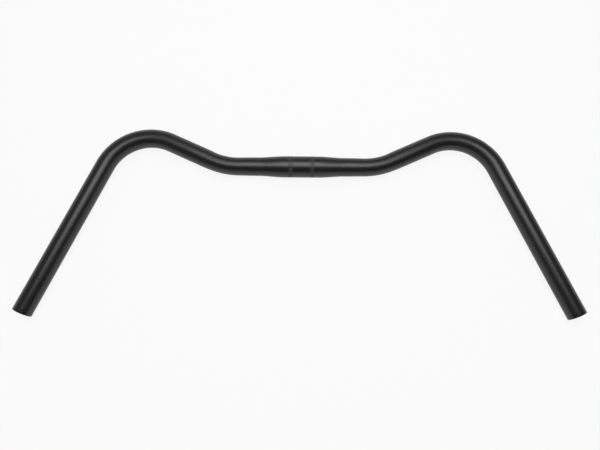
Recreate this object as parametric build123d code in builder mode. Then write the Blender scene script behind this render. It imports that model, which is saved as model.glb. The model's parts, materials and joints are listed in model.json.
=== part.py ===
from build123d import *
import math
import os

# Cruiser handlebar: one aluminium tube, swaged up at the centre and bent flat, twice on each side.
# It lies as it rests on a flat surface: on the underside of its clamp zone and its two grip ends.
# Origin: centre of the clamp zone. +X runs along the clamp zone, +Y points ahead, +Z points up.

# Driving dimensions, in millimetres
tube_diameter = 22.2
clamp_diameter = 25.4
wall = 2.0
clamp_length = 40.0
taper_length = 32.0
shoulder_length = 23.0
inner_bend_radius = 82.0
diagonal_length = 53.0
outer_bend_radius = 59.0
grip_length = 192.0
end_break = 0.4

# Bends, in degrees: the inner one turns ahead and the outer one back, both in one plane
inner_bend_angle = 24.4
outer_bend_angle = 90.0

# Straight knurling, one band near each end of the clamp zone, in millimetres
knurl_width = 5.0
knurl_inset = 4.5
knurl_pitch = 1.5
knurl_depth = 0.25

# Sizes that follow
tube_radius = tube_diameter / 2
clamp_radius = clamp_diameter / 2
clamp_end = clamp_length / 2
taper_end = clamp_end + taper_length
bend_start = taper_end + shoulder_length
knurl_start = clamp_end - knurl_inset - knurl_width
knurl_count = round(math.pi * clamp_diameter / knurl_pitch)


def heading(angle):
    """Unit vector in the plane of the bends, at an angle from the clamp zone."""
    return Vector(math.cos(math.radians(angle)), math.sin(math.radians(angle)))


def setback(radius, angle):
    """Distance from the corner of a bend to where the bend begins."""
    return radius * math.tan(math.radians(angle) / 2)


# Corners of the right-hand half's route, with the bar flat on Plane.XY
inner_setback = setback(inner_bend_radius, inner_bend_angle)
outer_setback = setback(outer_bend_radius, outer_bend_angle)
diagonal_run = inner_setback + diagonal_length + outer_setback
grip_direction = heading(inner_bend_angle - outer_bend_angle)
inner_corner = heading(0) * (bend_start + inner_setback)
outer_corner = inner_corner + heading(inner_bend_angle) * diagonal_run
grip_end = outer_corner + grip_direction * (outer_setback + grip_length)

# Lean at rest: the grips are thinner than the clamp zone, so their ends drop about its axis until
# the tube's underside there is level with that of the clamp zone
lowest_back = (grip_end - grip_direction * end_break).Y
rest_lean = math.degrees(math.asin((clamp_radius - tube_radius) / -lowest_back))


with BuildPart() as flat_bar:
    # Swaged centre: the wall keeps its thickness as the tube grows from its own size to the clamp's
    with BuildSketch(Plane.XY):
        with BuildLine():
            Polyline((clamp_end, clamp_radius), (0, clamp_radius), (0, clamp_radius - wall),
                     (clamp_end, clamp_radius - wall))
            Spline((clamp_end, clamp_radius - wall), (taper_end, tube_radius - wall),
                   tangents=[(1, 0), (1, 0)])
            Line((taper_end, tube_radius - wall), (taper_end, tube_radius))
            Spline((clamp_end, clamp_radius), (taper_end, tube_radius), tangents=[(1, 0), (1, 0)])
        make_face()
    revolve(axis=Axis.X)

    # Knurling: V-grooves along the bar, cut below the clamp diameter so that the lands keep it
    with BuildSketch(Plane.YZ.offset(knurl_start)):
        with PolarLocations(0, knurl_count):
            Polygon((clamp_radius - knurl_depth, 0), (clamp_radius + knurl_depth, -2 * knurl_depth),
                    (clamp_radius + knurl_depth, 2 * knurl_depth), align=None)
    extrude(amount=knurl_width, mode=Mode.SUBTRACT)

    # Bent tube: shoulder, inner bend, diagonal, outer bend and grip
    with BuildLine(Plane.XY):
        FilletPolyline((taper_end, 0), inner_corner, outer_corner, grip_end,
                       radius=[inner_bend_radius, outer_bend_radius])
    with BuildSketch(Plane.YZ.offset(taper_end)):
        Circle(tube_radius)
        Circle(tube_radius - wall, mode=Mode.SUBTRACT)
    sweep()

    # Sawn grip end with its inner and outer edges broken
    end_face = flat_bar.faces().filter_by(GeomType.PLANE).sort_by_distance(grip_end)[0]
    chamfer(end_face.edges(), length=end_break)

    mirror(about=Plane.YZ)

# The bar as it lies at rest
with BuildPart() as handlebar:
    add(flat_bar.part, rotation=(rest_lean, 0, 0))

handlebar.part.label = "handlebar"

os.makedirs("parts", exist_ok=True)
export_step(handlebar.part, "parts/handlebar.step")
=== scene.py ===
import bpy
import json
import math
from mathutils import Matrix, Vector


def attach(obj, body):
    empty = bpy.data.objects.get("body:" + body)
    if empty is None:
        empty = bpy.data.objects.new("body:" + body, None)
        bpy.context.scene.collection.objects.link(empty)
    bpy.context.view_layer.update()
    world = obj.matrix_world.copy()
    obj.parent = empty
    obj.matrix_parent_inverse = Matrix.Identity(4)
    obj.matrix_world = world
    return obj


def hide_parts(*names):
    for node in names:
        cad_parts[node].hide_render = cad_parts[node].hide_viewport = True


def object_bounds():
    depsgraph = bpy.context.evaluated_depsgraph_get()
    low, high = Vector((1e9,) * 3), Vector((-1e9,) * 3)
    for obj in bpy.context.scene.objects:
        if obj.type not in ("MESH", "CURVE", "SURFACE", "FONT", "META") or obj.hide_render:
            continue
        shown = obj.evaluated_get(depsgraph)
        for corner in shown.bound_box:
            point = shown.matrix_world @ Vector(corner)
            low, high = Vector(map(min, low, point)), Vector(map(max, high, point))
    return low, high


# Cruiser handlebar: one flat, bent aluminium tube in black satin anodising, lying on a white floor.
# Everything is in metres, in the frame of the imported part: +X along the clamp zone, +Y ahead, +Z up.

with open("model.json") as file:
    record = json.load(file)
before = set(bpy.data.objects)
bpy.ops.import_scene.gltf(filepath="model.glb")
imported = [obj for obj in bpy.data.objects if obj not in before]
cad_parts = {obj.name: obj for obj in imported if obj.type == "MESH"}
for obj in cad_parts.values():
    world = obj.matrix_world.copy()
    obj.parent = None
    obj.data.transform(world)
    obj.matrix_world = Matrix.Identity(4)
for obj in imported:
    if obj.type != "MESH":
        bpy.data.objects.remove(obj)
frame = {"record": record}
cad_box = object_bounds()

MM = 0.001

# Sizes that the record holds
mounts = {mount["name"]: mount for mount in frame["record"]["mounts"]}
clamp = mounts["stem_clamp"]
grip = mounts["grip_right"]
bore = mounts["bar_end_right"]
clamp_radius = clamp["dims"]["r_mm"] * MM
clamp_end = clamp["dims"]["length_mm"] * MM / 2
tube_radius = grip["dims"]["r_mm"] * MM
wall = tube_radius - bore["dims"]["r_mm"] * MM
grip_direction = Vector(grip["axis"])
grip_wall_end = Vector(grip["pos_m"])
grip_wall_length = grip["dims"]["length_mm"] * MM

# Sizes that it doesn't hold, as in the solid
taper_length = 32 * MM
shoulder_length = 23 * MM
inner_bend_radius = 82 * MM
inner_bend_angle = math.radians(24.4)
diagonal_length = 53 * MM
outer_bend_radius = 59 * MM
end_break = 0.4 * MM

# The plane that the tube is bent in: X, straight ahead in it, and its normal
plane_normal = grip_direction.cross(Vector((1, 0, 0))).normalized()
bend_plane = Matrix(((1, 0, 0), plane_normal.cross(Vector((1, 0, 0))), plane_normal)).transposed()
grip_heading = math.atan2(grip_direction.dot(bend_plane.col[1]), grip_direction.x)

# Knurling in two bands, with grooves that run out at both ends
knurl_inset = 4.5 * MM
knurl_width = 5 * MM
knurl_pitch = 1.5 * MM
knurl_depth = 0.25 * MM
knurl_run_out = 0.5 * MM
knurl_count = round(2 * math.pi * clamp_radius / knurl_pitch)
knurl_spacing = 2 * math.pi * clamp_radius / knurl_count

# Where a groove's points lie, from its middle to the land on each side, which starts at its foot
groove_foot = 0.1 * MM
groove_half = [0.5 * knurl_depth, knurl_depth, knurl_depth + groove_foot]
groove_other_half = [knurl_spacing - across for across in reversed(groove_half)]
groove_points = [0] + groove_half + [knurl_spacing / 2] + groove_other_half

# The first bend left the tube a little flatter in its plane, from the shoulder to the end of the bend
bend_flattening = 0.034
bend_start = clamp_end + taper_length + shoulder_length
bend_end = bend_start + inner_bend_radius * inner_bend_angle
flattening_lead = 22 * MM
flattening_starts = bend_start - flattening_lead
flattening_grows = 28 * MM
flattening_fades = 14 * MM

# The edges of the sawn end are worn round, within the solid's chamfer
rounding = 0.7 * MM

# Mesh density: points around, rings along each run, and how many of these the bore follows
AROUND = 2 * knurl_count
CLAMP_STEPS = 20
KNURL_STEPS = 4
TAPER_STEPS = 20
SHOULDER_STEPS = 8
INNER_BEND_STEPS = 18
DIAGONAL_STEPS = 14
OUTER_BEND_STEPS = 56
GRIP_STEPS = 32
ROUNDING_STEPS = 5
BORE_STRIDE = 3

# The piece's materials, by number
SATIN, SAWN, BORE = range(3)


def smooth(t):
    """Eases from 0 to 1 as t does."""
    t = min(max(t, 0), 1)
    return t * t * (3 - 2 * t)


class Station:
    """A place along the bar: its distance from the middle along the tube, and its centre and the
    tube's heading in the plane of the bends."""

    def __init__(self, run, centre, heading):
        self.run = run
        self.centre = centre
        self.heading = heading
        self.tangent = Vector((math.cos(heading), math.sin(heading)))
        self.sideways = Vector((-math.sin(heading), math.cos(heading)))

    def place(self, angle, radius, ahead=0.0):
        """Point on the section, at an angle and a radius, and moved ahead along the tube."""
        across = radius * math.cos(angle) * (1 - flattening(self.run))
        point = self.centre + self.tangent * ahead + self.sideways * across
        return bend_plane @ Vector((point.x, point.y, radius * math.sin(angle)))

    def unbent(self, angle, radius, ahead=0.0):
        """The same point on the tube before it was bent, when it lay straight along X."""
        return Vector((self.run + ahead, radius * math.cos(angle), radius * math.sin(angle)))


def flattening(run):
    """How much narrower the section is in the plane of the bends, as a share."""
    grown = smooth((run - flattening_starts) / flattening_grows)
    faded = smooth((run - bend_end + flattening_fades / 2) / flattening_fades)
    return bend_flattening * grown * (1 - faded)


def straight_run(start, length, steps):
    """Stations along a straight run that goes on from a station."""
    made = []
    for k in range(1, steps + 1):
        ahead = length * k / steps
        made.append(Station(start.run + ahead, start.centre + start.tangent * ahead, start.heading))
    return made


def bend(start, radius, angle, steps):
    """Stations round a bend that goes on from a station, ahead for an angle above zero and back below."""
    inward = start.sideways * math.copysign(radius, angle)
    pivot = start.centre + inward
    made = []
    for k in range(1, steps + 1):
        turned = angle * k / steps
        spoke = Matrix.Rotation(turned, 2) @ -inward
        made.append(Station(start.run + radius * abs(turned), pivot + spoke, start.heading + turned))
    return made


def route():
    """Stations of the right-hand half, from its middle to the rounding of the grip's end."""
    stations = [Station(0.0, Vector((0, 0)), 0.0)]
    stations += straight_run(stations[-1], clamp_end, CLAMP_STEPS)
    stations += straight_run(stations[-1], taper_length, TAPER_STEPS)
    stations += straight_run(stations[-1], shoulder_length, SHOULDER_STEPS)
    stations += bend(stations[-1], inner_bend_radius, inner_bend_angle, INNER_BEND_STEPS)
    stations += straight_run(stations[-1], diagonal_length, DIAGONAL_STEPS)
    outer_bend_angle = grip_heading - inner_bend_angle
    stations += bend(stations[-1], outer_bend_radius, outer_bend_angle, OUTER_BEND_STEPS)
    stations += straight_run(stations[-1], grip_wall_length + end_break - rounding, GRIP_STEPS)
    return stations


def outer_radius(run):
    """Radius of the outside: the clamp's, then a smooth taper, then the tube's."""
    return clamp_radius + (tube_radius - clamp_radius) * smooth((run - clamp_end) / taper_length)


def groove_depth(across, along):
    """Depth of a V-groove at a distance from its middle, and at a distance into the band."""
    to_middle = min(across, knurl_spacing - across)
    run_out = smooth(along / knurl_run_out) * smooth((knurl_width - along) / knurl_run_out)
    return max(0, knurl_depth - to_middle) * run_out


class Skin:
    """The mesh as it grows: points, the same points before bending, and faces with their material."""

    def __init__(self):
        self.points = []
        self.unbent = []
        self.faces = []
        self.materials = []

    def point(self, station, angle, radius, ahead=0.0):
        """Adds a point and returns its number."""
        self.points.append(station.place(angle, radius, ahead))
        self.unbent.append(station.unbent(angle, radius, ahead))
        return len(self.points) - 1

    def ring(self, station, radius, ahead=0.0):
        """Adds a plain ring and returns the numbers of its points."""
        return [self.point(station, 2 * math.pi * k / AROUND, radius, ahead) for k in range(AROUND)]

    def knurled_ring(self, station, along):
        """Adds a ring across the grooves, at a distance into the band."""
        made = []
        for k in range(knurl_count):
            for across in groove_points:
                angle = (k * knurl_spacing + across) / clamp_radius
                made.append(self.point(station, angle, clamp_radius - groove_depth(across, along)))
        return made

    def join(self, before, after, material=SATIN):
        """Joins two rings by faces, where one may have a whole number of times the other's points."""
        count = min(len(before), len(after))
        for k in range(count):
            near = side(before, k, count)
            far = side(after, k, count)
            self.faces.append(near + far[::-1])
            self.materials.append(material)

    def mirrored(self, shared):
        """Adds the mirror image about X = 0, which keeps the first points in common."""
        total = len(self.points)
        flip = Vector((-1, 1, 1))
        self.points += [point * flip for point in self.points[shared:]]
        self.unbent += [point * flip for point in self.unbent[shared:]]
        moved = list(range(shared)) + list(range(total, 2 * total - shared))
        self.faces += [[moved[k] for k in reversed(face)] for face in self.faces]
        self.materials += self.materials


def side(ring, k, count):
    """The points of a ring that lie along one of its equal sides, both ends included."""
    share = len(ring) // count
    return [ring[(k * share + j) % len(ring)] for j in range(share + 1)]


def clamp_station(run):
    """A station in the straight clamp zone."""
    return Station(run, Vector((run, 0)), 0.0)


def knurl_band(skin, start, before):
    """Adds a band of knurling that begins at a distance from the middle, and returns its last ring."""
    lead_in = skin.ring(clamp_station(start - knurl_run_out), clamp_radius)
    skin.join(before, lead_in)
    before = lead_in
    half_run_out = knurl_run_out / 2
    full_depth = knurl_width - 2 * knurl_run_out
    distances = [0, half_run_out, knurl_run_out]
    distances += [knurl_run_out + full_depth * k / KNURL_STEPS for k in range(1, KNURL_STEPS)]
    distances += [knurl_width - knurl_run_out, knurl_width - half_run_out, knurl_width]
    for along in distances:
        knurled = skin.knurled_ring(clamp_station(start + along), along)
        skin.join(before, knurled)
        before = knurled
    lead_out = skin.ring(clamp_station(start + knurl_width + knurl_run_out), clamp_radius)
    skin.join(before, lead_out)
    return lead_out


def tube_end(skin, station, before):
    """Adds the sawn end with its edges rounded, and returns the first ring of the bore."""
    for k in range(1, ROUNDING_STEPS + 1):
        turn = math.pi / 2 * k / ROUNDING_STEPS
        ring = skin.ring(station, tube_radius - rounding * (1 - math.cos(turn)), rounding * math.sin(turn))
        skin.join(before, ring)
        before = ring
    for k in range(ROUNDING_STEPS + 1):
        turn = math.pi / 2 * (1 - k / ROUNDING_STEPS)
        radius = tube_radius - wall + rounding * (1 - math.cos(turn))
        ring = skin.ring(station, radius, rounding * math.sin(turn))
        skin.join(before, ring, SAWN if k == 0 else SATIN)
        before = ring
    return before


def tube_skin():
    """The whole bar: outside, ends and bore of the right-hand half, and its mirror image."""
    skin = Skin()
    stations = route()
    outside = skin.ring(stations[0], clamp_radius)
    inside = skin.ring(stations[0], clamp_radius - wall)
    shared = len(skin.points)

    knurl_start = clamp_end - knurl_inset - knurl_width
    margin = 2 * knurl_run_out
    ring = outside
    knurled = False
    for station in stations[1:]:
        if knurl_start - margin < station.run < knurl_start + knurl_width + margin:
            if not knurled:
                ring = knurl_band(skin, knurl_start, ring)
                knurled = True
            continue
        following = skin.ring(station, outer_radius(station.run))
        skin.join(ring, following)
        ring = following
    ring = tube_end(skin, stations[-1], ring)

    for station in stations[-1 - BORE_STRIDE:0:-BORE_STRIDE]:
        following = skin.ring(station, outer_radius(station.run) - wall)
        skin.join(ring, following, BORE)
        ring = following
    skin.join(ring, inside, BORE)
    skin.mirrored(shared)
    return skin


def mesh_object(name, skin, materials):
    mesh = bpy.data.meshes.new(name)
    mesh.from_pydata(skin.points, [], skin.faces)
    for material in materials:
        mesh.materials.append(material)
    mesh.polygons.foreach_set("material_index", skin.materials)
    mesh.polygons.foreach_set("use_smooth", [True] * len(mesh.polygons))
    unbent = mesh.attributes.new("unbent", "FLOAT_VECTOR", "POINT")
    unbent.data.foreach_set("vector", [value for point in skin.unbent for value in point])
    mesh.update()
    made = bpy.data.objects.new(name, mesh)
    bpy.context.scene.collection.objects.link(made)
    return made


class Nodes:
    """Short ways to add nodes to a tree and to wire them."""

    def __init__(self, tree):
        self.tree = tree

    def node(self, kind, inputs=None, **settings):
        made = self.tree.nodes.new("ShaderNode" + kind)
        for key, value in settings.items():
            setattr(made, key, value)
        for key, value in (inputs or {}).items():
            if isinstance(value, bpy.types.NodeSocket):
                self.tree.links.new(value, made.inputs[key])
            else:
                made.inputs[key].default_value = value
        return made

    def math(self, operation, first, second):
        return self.node("Math", {0: first, 1: second}, operation=operation).outputs[0]

    def eased(self, value, low, high, to_low, to_high):
        """Goes smoothly from one level to another as a value goes from low to high."""
        inputs = {"Value": value, "From Min": low, "From Max": high, "To Min": to_low, "To Max": to_high}
        return self.node("MapRange", inputs, interpolation_type="SMOOTHSTEP").outputs["Result"]


class Shader(Nodes):
    """A material on one surface shader, with reliefs and noises that follow the tube."""

    def __init__(self, name):
        self.material = bpy.data.materials.new(name)
        self.material.use_nodes = True
        super().__init__(self.material.node_tree)
        self.surface = self.tree.nodes["Principled BSDF"]

    def unbent(self, along, around):
        """Place on the tube before it was bent, counted in features of these sizes, in metres."""
        place = self.node("Attribute", attribute_name="unbent")
        scaled = {0: place.outputs["Vector"], 1: (1 / along, 1 / around, 1 / around)}
        return self.node("VectorMath", scaled, operation="MULTIPLY").outputs[0]

    def noise(self, along, around, detail):
        """A noise whose features have these sizes, in metres."""
        inputs = {"Vector": self.unbent(along, around), "Scale": 1.0, "Detail": detail}
        return self.node("TexNoise", inputs).outputs["Fac"]

    def spread(self, value, low, high):
        """Takes the middle range of a noise to a range of its own."""
        from_low, from_high = 0.3, 0.7
        inputs = {"Value": value, "From Min": from_low, "From Max": from_high, "To Min": low, "To Max": high}
        return self.node("MapRange", inputs).outputs["Result"]

    def blend(self, factor, first, second):
        """A colour between two others."""
        inputs = {"Factor": factor, "A": (*first, 1), "B": (*second, 1)}
        return self.node("Mix", inputs, data_type="RGBA").outputs["Result"]

    def bump(self, height, depth, below=None):
        """A relief of this depth, in metres, laid over another."""
        inputs = {"Height": height, "Distance": depth, "Strength": 1.0}
        if below:
            inputs["Normal"] = below
        return self.node("Bump", inputs).outputs["Normal"]

    def wire(self, **sockets):
        for key, value in sockets.items():
            socket = self.surface.inputs[key.replace("_", " ")]
            if isinstance(value, bpy.types.NodeSocket):
                self.tree.links.new(value, socket)
            else:
                socket.default_value = value
        return self.material


def satin_black():
    """Black satin anodising over a drawn and blasted tube."""
    shader = Shader("satin_black")
    cloud = shader.noise(30 * MM, 14 * MM, detail=3.0)
    drawn = shader.noise(60 * MM, 0.5 * MM, detail=3.0)
    grain = shader.noise(0.16 * MM, 0.16 * MM, detail=1.0)
    swell = shader.noise(45 * MM, 9 * MM, detail=1.0)
    tint = shader.blend(cloud, (0.0042, 0.0042, 0.0043), (0.0068, 0.0067, 0.0068))
    roughness = shader.math("ADD", shader.spread(cloud, 0.33, 0.37), shader.spread(drawn, -0.012, 0.012))
    relief = shader.bump(swell, 0.02 * MM)
    relief = shader.bump(drawn, 0.0018 * MM, relief)
    relief = shader.bump(grain, 0.0015 * MM, relief)
    return shader.wire(Base_Color=tint, Roughness=roughness, IOR=1.55, Normal=relief)


def sawn_black():
    """The cut face of the tube's wall: anodised after sawing, with the saw's fine lines."""
    shader = Shader("sawn_black")
    lines = shader.noise(1.0, 0.12 * MM, detail=2.0)
    relief = shader.bump(lines, 0.012 * MM)
    roughness = shader.spread(lines, 0.38, 0.5)
    return shader.wire(Base_Color=(0.014, 0.014, 0.014, 1), Roughness=roughness, IOR=1.55, Normal=relief)


def bore_black():
    """The inside of the tube, duller and streaked along its length."""
    shader = Shader("bore_black")
    streaks = shader.noise(80 * MM, 1.2 * MM, detail=3.0)
    tint = shader.blend(streaks, (0.008, 0.008, 0.008), (0.02, 0.0195, 0.019))
    relief = shader.bump(streaks, 0.02 * MM)
    roughness = shader.spread(streaks, 0.45, 0.6)
    return shader.wire(Base_Color=tint, Roughness=roughness, IOR=1.5, Normal=relief)


def handlebar():
    piece = mesh_object("handlebar_tube", tube_skin(), [satin_black(), sawn_black(), bore_black()])
    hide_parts("handlebar")
    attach(piece, "root")


def camera():
    """The photograph's camera, as fitted to both edges of the tube."""
    lens = bpy.data.cameras.new("camera")
    lens.sensor_width = 36
    lens.lens = 31.54
    made = bpy.data.objects.new("camera", lens)
    made.location = (-0.00544, -0.20752, 0.60114)
    made.rotation_mode = "ZYX"
    made.rotation_euler = [math.radians(angle) for angle in (12.75, -0.39, 0.42)]
    bpy.context.scene.collection.objects.link(made)
    bpy.context.scene.camera = made


def soft_box(name, tilt, lean, distance, width, depth, radiance):
    """An area light above the bar, tilted from straight up towards +Y and leaned towards +X, in degrees."""
    light = bpy.data.lights.new(name, "AREA")
    light.shape = "RECTANGLE"
    light.size = width
    light.size_y = depth
    light.energy = math.pi * width * depth * radiance
    made = bpy.data.objects.new(name, light)
    turn = Matrix.Rotation(math.radians(-tilt), 4, "X") @ Matrix.Rotation(math.radians(lean), 4, "Y")
    made.matrix_world = turn @ Matrix.Translation((0, 0, distance))
    made.visible_camera = False
    bpy.context.scene.collection.objects.link(made)


def floor():
    """A white floor: camera and gloss see it white, near the bar with a share of its true shading."""
    reach = 30.0
    near, far = 0.6, 2.5
    near_share, far_share = 0.9, 1.0
    level = cad_box[0].z
    mesh = bpy.data.meshes.new("floor")
    corners = [(-reach, -reach, level), (reach, -reach, level), (reach, reach, level), (-reach, reach, level)]
    mesh.from_pydata(corners, [], [(0, 1, 2, 3)])
    made = bpy.data.objects.new("floor", mesh)
    bpy.context.scene.collection.objects.link(made)

    shader = Shader("floor_white")
    shader.wire(Base_Color=(0.9, 0.9, 0.9, 1), Roughness=0.9, Specular_IOR_Level=0.0)
    rays = shader.node("LightPath").outputs
    seen = shader.math("MAXIMUM", rays["Is Camera Ray"], rays["Is Glossy Ray"])
    seen = shader.math("MAXIMUM", seen, rays["Is Transmission Ray"])
    place = shader.node("NewGeometry").outputs["Position"]
    distance = shader.node("VectorMath", {0: place}, operation="LENGTH").outputs["Value"]
    share = shader.math("MULTIPLY", seen, shader.eased(distance, near, far, near_share, far_share))
    white = shader.node("Emission", {"Color": (1, 1, 1, 1), "Strength": 1.0})
    mixed = shader.node("MixShader", {0: share, 1: shader.surface.outputs[0], 2: white.outputs[0]})
    shader.tree.links.new(mixed.outputs[0], shader.tree.nodes["Material Output"].inputs["Surface"])
    mesh.materials.append(shader.material)


def room():
    """The room's own light, alike for every ray: a white backdrop up to a little above the horizon, and
    above it a dim room that is a little brighter ahead."""
    world = bpy.data.worlds.new("room")
    bpy.context.scene.world = world
    world.use_nodes = True
    nodes = Nodes(world.node_tree)
    direction = nodes.node("TexCoord").outputs["Generated"]
    height = nodes.node("SeparateXYZ", {0: direction}).outputs["Z"]
    dim_level = 0.18
    gradient = (-0.05, 0.115, 0)
    uneven = nodes.node("VectorMath", {0: direction, 1: gradient}, operation="DOT_PRODUCT").outputs["Value"]
    dim = nodes.math("ADD", dim_level, uneven)
    white_to, dim_from = [math.sin(math.radians(angle)) for angle in (9, 14)]
    backdrop = nodes.eased(height, white_to, dim_from, 1.0, 0.0)
    strength = nodes.node("Mix", {0: backdrop, 2: dim, 3: 1.0}, data_type="FLOAT").outputs[0]
    background = world.node_tree.nodes["Background"]
    background.inputs["Color"].default_value = (1, 1, 1, 1)
    world.node_tree.links.new(strength, background.inputs["Strength"])


bpy.context.scene.view_settings.view_transform = "Standard"
camera()
handlebar()
floor()
room()
soft_box("wide_box", tilt=2.5, lean=0.5, distance=1.1, width=0.92, depth=0.46, radiance=4.0)
soft_box("narrow_box", tilt=22.5, lean=0.5, distance=1.2, width=0.42, depth=0.42, radiance=4.8)
